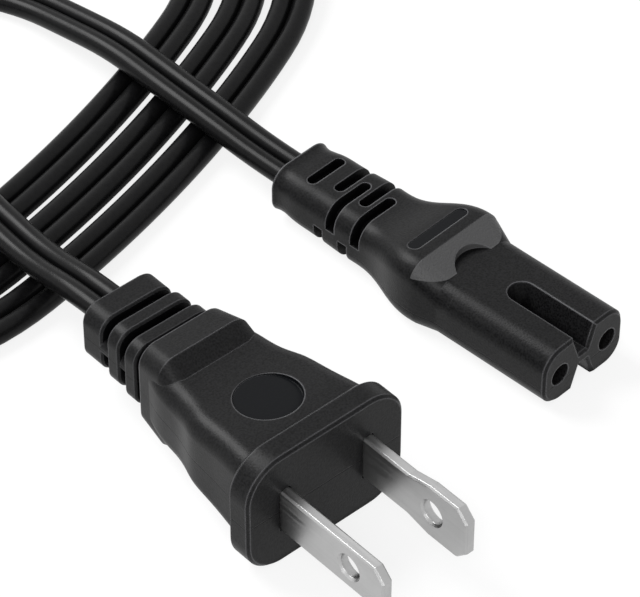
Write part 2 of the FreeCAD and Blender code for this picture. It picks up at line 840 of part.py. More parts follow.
def build_connector(model: Model) -> None:
    """Build the connector's moulding with its cavity, its contact carrier, contacts and wires."""
    nose = build_nose(model)
    rear = build_rear_form(model)
    form = model.add_fuse("connector_form", [nose, rear])
    at = connector_stations(model)
    z = model.size("connector_axis_height")
    gap = model.size("fit_clearance")

    bite = model.doc.addObject("Part::Cylinder", "finger_bite")
    bite.setExpression("Radius", "sizes.bite_radius")
    bite.setExpression("Height", "sizes.ridge_height")
    bite.setExpression("Placement.Base.y", "sizes.bite_station - sizes.connector_length / 2")
    bite.setExpression("Placement.Base.z", "sizes.connector_axis_height + sizes.nose_height / 2")
    length = model.size("connector_length")
    under = Part.makeBox(length, 2 * length, OVERRUN, FreeCAD.Vector(-length / 2, -length, -OVERRUN))
    legend = legend_recess(model)
    half = model.size("pin_pitch") / 2
    cavity = [carrier_solid(model, gap, False)]
    for sign in (-1, 1):
        route = lead_route(model, half, z, at["lead"], at["apart"], at["together"], at["rear"])
        route = [FreeCAD.Vector(sign * point.x, point.y, point.z) for point in route]
        cavity.append(wire_chain(model, route, at["contact"], gap))
    web_start = at["together"] - model.size("web_room_lead")
    cavity.append(flat_prism(model, z, web_start, at["rear"] + OVERRUN, gap))
    hollow = cavity[0].fuse(cavity[1:])
    cutter = model.add_shape("connector_cutter", Part.makeCompound([relief_slots(model), under, legend]))
    inside = model.add_shape("connector_hollow", hollow)
    bitten = model.add_cut("connector_bitten", form, bite)
    trimmed = model.add_cut("connector_trimmed", bitten, cutter)
    model.keep("connector_shell", model.add_cut("connector_shell", trimmed, inside))
    model.keep("connector_insert", model.add_shape("connector_insert", carrier_solid(model, 0, True)))
    for side, sign in (("left", -1), ("right", 1)):
        build_contact(model, side, sign)
    build_wires(model, "connector", half, z, at)


def legend_recess(model: Model):
    """Return the shallow rounded strip, left bare, that is sunk into the slope behind the ridge."""
    length = model.size("connector_length")
    y = model.size("legend_station") - length / 2
    breadth = model.size("legend_breadth")
    half = model.size("legend_width") / 2 - breadth / 2
    ridge, neck = model.size("ridge_station"), model.size("neck_station")
    neck_top = model.size("connector_axis_height") + model.size("neck_height") / 2
    crest = ridge + model.size("ridge_breadth")
    share = (model.size("legend_station") - crest) / (neck - crest)
    ease = share * share * (3 - 2 * share)
    surface = model.size("ridge_height") + (neck_top - model.size("ridge_height")) * ease
    floor = surface - model.size("legend_depth")
    tall = model.size("ridge_height")
    middle = Part.makeBox(2 * half, breadth, tall, FreeCAD.Vector(-half, y - breadth / 2, floor))
    ends = [Part.makeCylinder(breadth / 2, tall, FreeCAD.Vector(x, y, floor)) for x in (-half, half)]
    return middle.fuse(ends)


def plug_placement(model: Model):
    """Return where the plug lies: its blade face to the left of the connector and turned a little."""
    turn = FreeCAD.Rotation(Z_AXIS, model.size("plug_turn"))
    return FreeCAD.Placement(FreeCAD.Vector(-model.size("plug_left"), -model.size("plug_forward"), 0), turn)


def plug_stations(model: Model) -> dict:
    """Work out where the plug's inner pieces and ribs start and end, as distances behind the blade face."""
    crimp = model.size("blade_tail_length")
    strip = crimp + model.size("crimp_length")
    lead = strip + model.size("strip_length")
    ribs = []
    y = model.size("hump_end_station") + model.size("rib_gap")
    rib = model.size("rib_thickness")
    for thickness in (rib, rib, model.size("end_rib_thickness")):
        ribs.append((y, y + thickness))
        y += thickness + model.size("rib_gap")
    return {
        "crimp": crimp,
        "strip": strip,
        "lead": lead,
        "apart": lead + model.size("plug_lead_straight"),
        "together": lead + model.size("plug_lead_straight") + model.size("plug_lead_spread_length"),
        "ribs": ribs,
        "rear": ribs[-1][1],
    }


def build_flange(model: Model):
    """Model the plug's rectangular face plate with its well rounded corners."""
    body = model.doc.addObject("PartDesign::Body", "flange")
    outline = new_sketch(body, "flange_outline", "XZ_Plane", "0")
    middle = "sizes.flange_height / 2"
    rounded_rectangle(
        outline, model, "sizes.flange_width", "sizes.flange_height", "sizes.flange_round", middle
    )
    add_pad(body, model, "flange_plate", outline, "sizes.flange_thickness", reverse=True)
    add_chamfer(body, model, "flange_edges", "sizes.flange_edge_cut", lambda edge: not runs_lengthways(edge))
    return body


def build_plug_form(model: Model):
    """Model the grip behind the flange as a loft that narrows and sinks towards the cord."""
    body = model.doc.addObject("PartDesign::Body", "plug_form")
    front = "(sizes.flange_thickness / 2)"
    middle = "sizes.body_middle_station"
    valley = "sizes.valley_station"
    end = "sizes.hump_end_station"
    widths = (
        "sizes.body_front_width",
        "sizes.body_middle_width",
        "sizes.valley_width",
        "sizes.hump_end_width",
    )
    heights = ("sizes.body_front_height", "sizes.valley_height")
    sections = []
    for index in range(PLUG_SECTIONS + 1):
        station = f"({front} + ({end} - {front}) * {index} / {PLUG_SECTIONS})"
        stages = (ramp(station, front, middle), ramp(station, middle, valley), ramp(station, valley, end))
        width = staged(widths, stages)
        height = staged(heights, (ramp(station, front, valley),))
        sections.append((f"-({station})", width, height, "sizes.body_round", "sizes.flange_height / 2"))
    sections_loft(body, model, "plug_grip", sections)
    return body


def build_hump(model: Model):
    """Model the raised block behind the grip's valley, which the cord's ribs follow."""
    body = model.doc.addObject("PartDesign::Body", "hump")
    middle = "sizes.flange_height / 2"
    toe = "sizes.hump_toe"
    low = (f"-(sizes.valley_station - {toe})", f"sizes.valley_width - {toe}", f"sizes.valley_height - {toe}")
    crest = ("-(sizes.valley_station + sizes.hump_rise)", "sizes.hump_width", "sizes.hump_height")
    end = ("-sizes.hump_end_station", "sizes.hump_end_width", "sizes.hump_end_height")
    sections = [(*sizes, "sizes.body_round", middle) for sizes in (low, crest, end)]
    loft = sections_loft(body, model, "hump_block", sections)
    loft.Ruled = True
    model.doc.recompute()
    return body


def build_ribs(model: Model):
    """Model the strain relief: three ribs on a core, joined on both sides by a spine at the parting line."""
    at = plug_stations(model)
    middle = model.size("flange_height") / 2
    start = model.size("hump_end_station") - model.size("rib_root")
    end = at["rear"] - model.size("spine_set_back")
    spine_width = model.size("rib_width") - 2 * model.size("rib_step")
    solids = [
        rounded_prism(
            model.size("core_width"), model.size("core_height"), model.size("core_round"), middle, start, end
        ),
        rounded_prism(spine_width, model.size("spine_height"), model.size("spine_round"), middle, start, end),
    ]
    for index, (y_from, y_to) in enumerate(at["ribs"]):
        shrink = index * model.size("rib_step")
        width = model.size("rib_width") - shrink
        height = model.size("rib_height") - shrink
        rib = rounded_prism(width, height, model.size("rib_round"), middle, y_from, y_to)
        rims = [edge for edge in rib.Edges if not runs_lengthways(edge)]
        solids.append(rib.makeChamfer(model.size("rib_edge_cut"), rims))
    return model.add_shape("plug_ribs", solids[0].fuse(solids[1:]))


def bridge_solid(model: Model, gap: float):
    """Return the block that holds both blades inside the plug, grown by a gap."""
    width, height = model.size("bridge_width") + 2 * gap, model.size("bridge_height") + 2 * gap
    low = (model.size("flange_height") - height) / 2
    corner = FreeCAD.Vector(-width / 2, model.size("bridge_station") - gap, low)
    return Part.makeBox(width, model.size("bridge_breadth") + 2 * gap, height, corner)


def blade_room(model: Model, gap: float):
    """Return the room that the two blades take inside the plug: root, tail and nothing of the crimp."""
    thickness = model.size("blade_thickness") + 2 * gap
    middle = model.size("flange_height") / 2
    rooms = []
    for sign in (-1, 1):
        x = sign * model.size("blade_pitch") / 2 - thickness / 2
        root = model.size("blade_width") + 2 * gap
        tail = model.size("blade_tail_width") + 2 * gap
        depth = model.size("blade_root_depth") + gap
        root_corner = FreeCAD.Vector(x, -OVERRUN, middle - root / 2)
        rooms.append(Part.makeBox(thickness, depth + OVERRUN, root, root_corner))
        length = model.size("blade_tail_length") + gap
        rooms.append(Part.makeBox(thickness, length, tail, FreeCAD.Vector(x, 0, middle - tail / 2)))
    return rooms[0].fuse(rooms[1:])


def build_blade(model: Model, name: str, sign: int, flared: bool) -> None:
    """Model one blade: a stamped tongue with its hole, clipped tip, narrow tail and crimp barrel.

    Args:
        model: The model that receives the blade.
        name: Name of the sub-part.
        sign: Side of the plug, -1 for left and 1 for right.
        flared: Whether the blade widens towards its tip, as the grounded-conductor blade does.
    """
    body = model.doc.addObject("PartDesign::Body", f"{name}_tongue")
    middle = "sizes.flange_height / 2"
    root = "sizes.blade_width / 2"
    tip = "sizes.blade_flare_width / 2" if flared else root
    flare = [("-sizes.blade_flare_start", root), ("-sizes.blade_flare_end", tip)] if flared else []
    half = [
        ("sizes.blade_tail_length", "sizes.blade_tail_width / 2"),
        ("sizes.blade_root_depth", "sizes.blade_tail_width / 2"),
        ("sizes.blade_root_depth", root),
        *flare,
        ("-(sizes.blade_length - sizes.blade_tip_cut)", tip),
        ("-sizes.blade_length", f"{tip} - sizes.blade_tip_cut"),
    ]
    corners = [(y, f"{middle} + {z}") for y, z in half]
    corners += [(y, f"{middle} - ({z})") for y, z in reversed(half)]
    outline = new_sketch(body, f"{name}_outline", "YZ_Plane", "0")
    polygon(outline, model, corners)
    add_pad(body, model, f"{name}_stock", outline, "sizes.blade_thickness", midplane=True)
    hole = new_sketch(body, f"{name}_hole_circle", "YZ_Plane", "0")
    circles(hole, model, [("-sizes.blade_hole_station", middle)], "sizes.blade_hole")
    add_pocket(body, model, f"{name}_hole", hole, "sizes.blade_thickness * 2", midplane=True)
    add_chamfer(body, model, f"{name}_hole_coining", "sizes.blade_hole_coining", is_round)
    face = model.size("blade_thickness") / 2

    def outer_rim(edge) -> bool:
        point, direction = middle_of(edge)
        on_face = abs(abs(point.x) - face) < 1e-4 and abs(direction.x) < 1e-4
        return on_face and not is_round(edge) and point.y < 0

    add_chamfer(body, model, f"{name}_edges", "sizes.blade_edge_round", outer_rim)

    crimp = model.doc.addObject("Part::Cylinder", f"{name}_barrel")
    bore = model.doc.addObject("Part::Cylinder", f"{name}_barrel_bore")
    inside = "sizes.strand_diameter / 2 + sizes.fit_clearance"
    crimp.setExpression("Radius", f"{inside} + sizes.crimp_wall")
    bore.setExpression("Radius", inside)
    overlap = "sizes.blade_tail_length - sizes.barrel_overlap"
    floor = "sizes.blade_tail_length + sizes.crimp_wall / 2"
    for cylinder, start in ((crimp, overlap), (bore, floor)):
        cylinder.setExpression("Height", f"sizes.blade_tail_length + sizes.crimp_length - ({start})")
        cylinder.Placement = FreeCAD.Placement(FreeCAD.Vector(), FreeCAD.Rotation(X_AXIS, -90))
        cylinder.setExpression("Placement.Base.y", start)
        cylinder.setExpression("Placement.Base.z", middle)
    tongue = model.add_fuse(f"{name}_with_barrel", [body, crimp])
    blade = model.add_cut(name, tongue, bore)
    model.doc.recompute()
    aside = FreeCAD.Placement(FreeCAD.Vector(sign * model.size("blade_pitch") / 2, 0, 0), FreeCAD.Rotation())
    blade.Placement = plug_placement(model).multiply(aside)
    model.keep(name, blade)


def emblem_recess(model: Model):
    """Return the shallow round recess, left bare, that is sunk into the top of the plug's grip."""
    front = model.size("flange_thickness") / 2
    share = (model.size("emblem_recess_station") - front) / (model.size("valley_station") - front)
    ease = share * share * (3 - 2 * share)
    front_height, valley_height = model.size("body_front_height"), model.size("valley_height")
    height = front_height + (valley_height - front_height) * ease
    floor = (model.size("flange_height") + height) / 2 - model.size("emblem_recess_depth")
    seat = FreeCAD.Vector(0, model.size("emblem_recess_station"), floor)
    return Part.makeCylinder(model.size("emblem_recess_diameter") / 2, model.size("flange_height"), seat)


def build_plug(model: Model) -> None:
    """Build the plug's moulding with its cavity, its blade bridge, both blades and the wires."""
    form = model.add_fuse(
        "plug_outside", [build_flange(model), build_plug_form(model), build_hump(model), build_ribs(model)]
    )
    at = plug_stations(model)
    middle = model.size("flange_height") / 2
    gap = model.size("fit_clearance")
    half = model.size("blade_pitch") / 2
    start = model.size("blade_tail_length") - model.size("barrel_overlap") - gap
    cavity = [bridge_solid(model, gap), blade_room(model, gap)]
    for sign in (-1, 1):
        route = lead_route(model, half, middle, at["lead"], at["apart"], at["together"], at["rear"])
        route = [FreeCAD.Vector(sign * point.x, point.y, point.z) for point in route]
        cavity.append(wire_chain(model, route, start, gap))
    web_start = at["together"] - model.size("web_room_lead")
    cavity.append(flat_prism(model, middle, web_start, at["rear"] + OVERRUN, gap))
    recess = emblem_recess(model)
    tool = model.add_shape("plug_hollow", cavity[0].fuse(cavity[1:] + [recess]))
    shell = model.add_cut("plug_shell", form, tool)
    model.doc.recompute()
    shell.Placement = plug_placement(model)
    model.keep("plug_shell", shell)
    insert = model.add_shape("plug_insert", bridge_solid(model, 0).cut(blade_room(model, gap)))
    insert.Placement = plug_placement(model)
    model.keep("plug_insert", insert)
    build_blade(model, "blade_narrow", -1, False)
    build_blade(model, "blade_wide", 1, True)
    build_wires(model, "plug", half, middle, at, plug_placement(model))


def coil_arcs(model: Model):
    """Return the four arcs of the coil's middle turn: centre, radius, middle angle and half angle of each."""
    side = model.size("coil_side_radius")
    end = model.size("coil_end_radius")
    half_angle = math.radians(model.size("coil_side_half_angle"))
    reach = (side - end) * math.sin(half_angle)
    rise = side - (side - end) * math.cos(half_angle)
    quarter = math.pi / 2
    return [
        ((0, side), side, -quarter, half_angle),
        ((reach, rise), end, 0, quarter - half_angle),
        ((0, 2 * rise - side), side, quarter, half_angle),
        ((-reach, rise), end, math.pi, quarter - half_angle),
    ]


def ring_point(centre, radius: float, angle: float, z: float = 0.0):
    """Return the point of a level circle at an angle."""
    return FreeCAD.Vector(centre[0] + radius * math.cos(angle), centre[1] + radius * math.sin(angle), z)


def coil_face(model: Model, offset: float):
    """Return the area inside the coil's middle turn moved out by an offset."""
    arcs = []
    for centre, radius, middle, half_angle in coil_arcs(model):
        angles = (middle - half_angle, middle, middle + half_angle)
        arcs.append(Part.Arc(*(ring_point(centre, radius + offset, angle) for angle in angles)).toShape())
    return Part.Face(Part.Wire(arcs))


def coil_frame(model: Model):
    """Return the placement of the coil, from the middle of its near side."""
    middle = FreeCAD.Vector(-model.size("coil_middle_left"), model.size("coil_middle_back"), 0)
    return FreeCAD.Placement(middle, FreeCAD.Rotation(Z_AXIS, model.size("coil_axis_turn")))


def build_coil(model: Model) -> None:
    """Model the coil's outer shape, open in the far side's inner lane, where the connector's lead ends."""
    pitch = model.size("coil_turn_pitch")
    half = (model.size("coil_turns") - 1) / 2 * pitch + model.size("cord_width") / 2
    thickness = model.size("cord_thickness")
    solid = coil_face(model, half).cut(coil_face(model, -half)).extrude(Z_AXIS * thickness)
    solid.Placement = coil_frame(model)
    (x, y), side, middle, half_angle = coil_arcs(model)[2]
    centre = coil_frame(model).multVec(FreeCAD.Vector(x, y, 0))
    end = CONNECTOR_ROUTE[-1]
    first = math.radians(model.size("coil_axis_turn")) + middle - half_angle
    last = math.atan2(end[1] - centre.y, end[0] - centre.x)
    angles = (first, (first + last) / 2, last)
    inner = [ring_point(centre, side - 2 * pitch, angle, -OVERRUN) for angle in angles]
    outer = [ring_point(centre, side - pitch / 2, angle, -OVERRUN) for angle in reversed(angles)]
    notch = Part.Wire(
        [
            Part.Arc(*inner).toShape(),
            Part.makeLine(inner[-1], outer[0]),
            Part.Arc(*outer).toShape(),
            Part.makeLine(outer[-1], inner[0]),
        ]
    )
    opening = Part.Face(notch).extrude(Z_AXIS * (thickness + 2 * OVERRUN))
    model.keep("cord_coil", model.add_shape("cord_coil", solid.cut(opening)))


def build_cord(model: Model, node: str, route) -> None:
    """Model one free stretch of the flat cord along its route and compare its volume with its length."""
    points = [FreeCAD.Vector(*point) for point in route]
    path = route_wire(points, node)
    heading = points[1].sub(points[0]).normalize()
    section = trimmed_section(points[0], heading, model.size("cord_width"), model.size("cord_thickness"))
    solid = sweep(path, section)
    expected = Part.Face(section).Area * path.Length
    share = solid.Volume / expected
    LOG.info("%s length %.1f mm, volume %.4f of its section times length", node, path.Length, share)
    model.keep(node, model.add_shape(node, solid))


def main() -> None:
    """Build every sub-part, check it and write it."""
    model = Model()
    build_connector(model)
    build_plug(model)
    build_coil(model)
    build_cord(model, "cord_to_connector", CONNECTOR_ROUTE)
    build_cord(model, "cord_to_plug", PLUG_ROUTE)
    model.doc.recompute()
    finish(model)


def finish(model: Model) -> None:
    """Check every object's state and every sub-part's shape, then write one STEP file a sub-part."""
    for item in model.doc.Objects:
        if {"Invalid", "Error"} & set(item.State):
            raise RuntimeError(f"{item.Name} failed: {item.getStatusString()}")
    for node, feature in model.nodes.items():
        if feature.Shape.isNull() or not feature.Shape.isValid():
            raise RuntimeError(f"{node} has no valid shape")
    os.makedirs("parts", exist_ok=True)
    for node, feature in model.nodes.items():
        feature.Shape.exportStep(f"parts/{node}.step")
        box = feature.Shape.BoundBox
        LOG.info(
            "%-26s %d solid %9.2f mm3  x %.2f..%.2f y %.2f..%.2f z %.2f..%.2f",
            node, len(feature.Shape.Solids), feature.Shape.Volume,
            box.XMin, box.XMax, box.YMin, box.YMax, box.ZMin, box.ZMax,
        )


main()
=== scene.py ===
"""Dresses the figure-eight cord set: its camera, studio, flat cord, mouldings, blades and contacts."""

from __future__ import annotations

import json
import logging
import math
from dataclasses import dataclass, field
from enum import Enum

import bmesh
import bpy
from mathutils import Matrix, Vector

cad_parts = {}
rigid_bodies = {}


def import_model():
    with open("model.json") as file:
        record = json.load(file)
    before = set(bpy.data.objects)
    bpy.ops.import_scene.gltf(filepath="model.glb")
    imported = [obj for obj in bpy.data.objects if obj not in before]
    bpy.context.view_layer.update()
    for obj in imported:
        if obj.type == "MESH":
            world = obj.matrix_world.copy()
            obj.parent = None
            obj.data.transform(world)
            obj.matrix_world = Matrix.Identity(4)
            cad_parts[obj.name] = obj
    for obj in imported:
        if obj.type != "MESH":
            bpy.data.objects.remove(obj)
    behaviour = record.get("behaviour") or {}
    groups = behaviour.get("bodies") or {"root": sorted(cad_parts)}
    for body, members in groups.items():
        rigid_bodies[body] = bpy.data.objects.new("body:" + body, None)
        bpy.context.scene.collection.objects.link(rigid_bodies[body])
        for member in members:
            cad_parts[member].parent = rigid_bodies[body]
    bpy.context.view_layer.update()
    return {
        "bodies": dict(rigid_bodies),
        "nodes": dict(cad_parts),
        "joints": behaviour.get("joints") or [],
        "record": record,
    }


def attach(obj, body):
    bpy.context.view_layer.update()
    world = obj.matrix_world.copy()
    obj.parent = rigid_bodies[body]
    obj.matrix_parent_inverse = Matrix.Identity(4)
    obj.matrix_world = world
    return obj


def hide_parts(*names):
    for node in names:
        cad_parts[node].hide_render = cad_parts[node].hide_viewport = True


LOG = logging.getLogger("cord_set")
MM = 0.001
Colour = tuple[float, float, float, float]


def mm(x: float, y: float, z: float) -> Vector:
    """Return a point given in millimetres as a vector in metres."""
    return Vector((x * MM, y * MM, z * MM))


def add_object(name: str, data: bpy.types.ID) -> bpy.types.Object:
    """Create an object that shows a mesh, a curve, a camera or a lamp in the scene.

    Args:
        name: Name of the object.
        data: What it shows.

    Returns:
        The new object.
    """
    made = bpy.data.objects.new(name, data)
    bpy.context.scene.collection.objects.link(made)
    return made


class CoilArc(Enum):
    """The four arcs of one turn of the coil, in the order in which the cord runs through them."""

    FAR_SIDE = "far side"
    LEFT_END = "left end"
    NEAR_SIDE = "near side"
    RIGHT_END = "right end"


@dataclass(frozen=True)
class Viewpoint:
    """The camera: a long lens that looks down on the mouldings from the front left."""

    azimuth: float = -46.0
    elevation: float = 43.0
    look_at: Vector = field(default_factory=lambda: mm(-11.5, 9.3, 0.0))
    distance: float = 0.45
    lens: float = 202.5
    sensor_width: float = 36.0

    def build(self) -> None:
        """Create the scene's camera."""
        turn, rise = math.radians(self.azimuth), math.radians(self.elevation)
        back = Vector((math.sin(turn) * math.cos(rise), -math.cos(turn) * math.cos(rise), math.sin(rise)))
        camera = add_object("camera", bpy.data.cameras.new("camera"))
        camera.data.lens = self.lens
        camera.data.sensor_width = self.sensor_width
        camera.location = self.look_at + back * self.distance
        camera.rotation_euler = back.to_track_quat("Z", "Y").to_euler()
        bpy.context.scene.camera = camera


class ShaderGraph:
    """A material's, a group's or the world's node tree with short calls for adding nodes and links."""

    def __init__(self, tree: bpy.types.NodeTree) -> None:
        """Keep the tree that the calls work on."""
        self.tree = tree

    def feed(self, node: bpy.types.Node, inputs: dict) -> None:
        """Give a node's inputs, by socket name or index, a value or the socket that they read."""
        for name, value in inputs.items():
            if isinstance(value, bpy.types.NodeSocket):
                self.tree.links.new(value, node.inputs[name])
            else:
                node.inputs[name].default_value = value

    def node(self, kind: str, **settings: object) -> bpy.types.Node:
        """Add a node.

        Args:
            kind: Type name of the node.
            settings: Attributes to set on it, and under inputs the table that feed takes.

        Returns:
            The new node.
        """
        inputs = settings.pop("inputs", {})
        node = self.tree.nodes.new(kind)
        for name, value in settings.items():
            setattr(node, name, value)
        self.feed(node, inputs)
        return node

    def math(self, operation: str, *values: object) -> bpy.types.NodeSocket:
        """Add a Math node and return its value."""
        return self.node("ShaderNodeMath", operation=operation, inputs=dict(enumerate(values))).outputs[0]

    def span(
        self, value: object, low: float, high: float, to_low: float = 0.0, to_high: float = 1.0
    ) -> bpy.types.NodeSocket:
        """Add a Map Range node from one pair of limits to another and return its value."""
        inputs = {0: value, 1: low, 2: high, 3: to_low, 4: to_high}
        return self.node("ShaderNodeMapRange", inputs=inputs).outputs[0]

    def blend(self, share: object, first: object, second: object) -> bpy.types.NodeSocket:
        """Add a colour Mix node and return its colour."""
        node = self.node("ShaderNodeMix", data_type="RGBA", inputs={0: share, 6: first, 7: second})
        return node.outputs[2]

    def place(self) -> bpy.types.NodeSocket:
        """Return the place on the object, in the object's own frame."""
        return self.node("ShaderNodeTexCoord").outputs["Object"]

    def noise(self, place: object, scale: object, detail: float) -> bpy.types.NodeSocket:
        """Add a Noise Texture node and return its value."""
        inputs = {"Vector": place, "Scale": scale, "Detail": detail}
        return self.node("ShaderNodeTexNoise", inputs=inputs).outputs[0]

    def level(self, direction: bpy.types.NodeSocket) -> bpy.types.NodeSocket:
        """Return the upward part of a direction."""
        return self.node("ShaderNodeSeparateXYZ", inputs={0: direction}).outputs[2]

    def seen(self) -> bpy.types.NodeSocket:
        """Return 1 for rays that show the set, off gloss and glass too, and 0 for those that light it."""
        path = self.node("ShaderNodeLightPath").outputs
        direct = self.math("MAXIMUM", path["Is Camera Ray"], path["Is Glossy Ray"])
        return self.math("MAXIMUM", direct, path["Is Transmission Ray"])


@dataclass(frozen=True)
class MouldedGrain:
    """Fine spark-eroded grain of a mould with slow cloudiness, as a height and a value for the roughness."""

    group_name: str = "moulded_grain"
    grain_size: float = 3000.0
    grain_detail: float = 3.0
    grain_share: float = 0.65
    cloud_size: float = 90.0
    cloud_detail: float = 4.0

    def group(self) -> bpy.types.NodeTree:
        """Return the node group, built on first use."""
        if self.group_name in bpy.data.node_groups:
            return bpy.data.node_groups[self.group_name]
        tree = bpy.data.node_groups.new(self.group_name, "ShaderNodeTree")
        for label, value in (("Grain size", self.grain_size), ("Cloud size", self.cloud_size)):
            socket = tree.interface.new_socket(label, in_out="INPUT", socket_type="NodeSocketFloat")
            socket.default_value = value
        for label in ("Height", "Cloud"):
            tree.interface.new_socket(label, in_out="OUTPUT", socket_type="NodeSocketFloat")
        graph = ShaderGraph(tree)
        sizes = graph.node("NodeGroupInput").outputs
        result = graph.node("NodeGroupOutput")
        place = graph.place()
        fine = graph.noise(place, sizes["Grain size"], self.grain_detail)
        inputs = {"Vector": place, "Scale": sizes["Grain size"]}
        pits = graph.node("ShaderNodeTexVoronoi", inputs=inputs).outputs[0]
        cloud = graph.noise(place, sizes["Cloud size"], self.cloud_detail)
        height = graph.math(
            "ADD",
            graph.math("MULTIPLY", fine, self.grain_share),
            graph.math("MULTIPLY", pits, 1.0 - self.grain_share),
        )
        graph.feed(result, {"Height": height, "Cloud": cloud})
        return tree


@dataclass(frozen=True)
class Panel:
    """The textured slope behind the connector's nose: where it lies, in metres, and its paler finish."""

    floor: float = 0.00843
    rear: float = -0.00236
    steepness: float = 0.97
    colour: Colour = (0.062, 0.062, 0.063, 1.0)
    grain_gain: float = 5.0

    def mask(self, graph: ShaderGraph, place: bpy.types.Node) -> bpy.types.NodeSocket:
        """Return 1 on the panel and 0 elsewhere."""
        level = graph.level(graph.node("ShaderNodeNewGeometry").outputs["True Normal"])
        high = graph.math("GREATER_THAN", place.outputs[2], self.floor)
        front = graph.math("LESS_THAN", place.outputs[1], self.rear)
        steep = graph.math("LESS_THAN", level, self.steepness)
        return graph.math("MULTIPLY", high, graph.math("MULTIPLY", front, steep))


@dataclass(frozen=True)
class ShadedSunkFloor:
    """The polished floor of a shallow recess, darkened by painted shade: its middle, half sizes and least
    height, in metres.
    """

    middle: tuple[float, float]
    half: tuple[float, float]
    least_height: float
    power: float = 2.0
    # Painted shade: darker than the plastic around it, for the recess's depth.
    colour: Colour = (0.0030, 0.0034, 0.0042, 1.0)
    roughness_share: float = 0.6

    def mask(self, graph: ShaderGraph, place: bpy.types.Node) -> bpy.types.NodeSocket:
        """Return 1 on the floor and 0 elsewhere."""
        reach = []
        for axis in (0, 1):
            offset = graph.math("ABSOLUTE", graph.math("SUBTRACT", place.outputs[axis], self.middle[axis]))
            reach.append(graph.math("POWER", graph.math("DIVIDE", offset, self.half[axis]), self.power))
        inside = graph.math("LESS_THAN", graph.math("ADD", *reach), 1.0)
        return graph.math("MULTIPLY", inside, graph.math("GREATER_THAN", place.outputs[2], self.least_height))


@dataclass(frozen=True)
class PartingLine:
    """The hairline where a mould's halves met: its height and the limits in which it fades, in metres."""

    height: float
    fade: tuple[float, float] = (0.000025, 0.000075)
    depth: float = 4.0
    steepness: float = 0.8
    colour: Colour = (0.0, 0.0, 0.0, 1.0)

    def mask(self, graph: ShaderGraph, place: bpy.types.Node) -> bpy.types.NodeSocket:
        """Return 1 on the line, where the surface is upright, and 0 off it."""
        above = graph.math("ABSOLUTE", graph.math("SUBTRACT", place.outputs[2], self.height))
        line = graph.span(above, *self.fade, 1.0, 0.0)
        level = graph.level(graph.node("ShaderNodeNewGeometry").outputs["True Normal"])
        upright = graph.math("LESS_THAN", graph.math("ABSOLUTE", level), self.steepness)
        return graph.math("MULTIPLY", line, upright)


@dataclass(frozen=True)
class Finish:
    """A named material."""

    name: str

    def material(self) -> bpy.types.Material:
        """Return the material, built on first use."""
        if self.name in bpy.data.materials:
            return bpy.data.materials[self.name]
        material = bpy.data.materials.new(self.name)
        material.use_nodes = True
        graph = ShaderGraph(material.node_tree)
        graph.feed(material.node_tree.nodes["Principled BSDF"], self.inputs(graph))
        return material

    def inputs(self, graph: ShaderGraph) -> dict[str, object]:
        """Build the finish and return what its shader's inputs take, by their names."""
        raise NotImplementedError


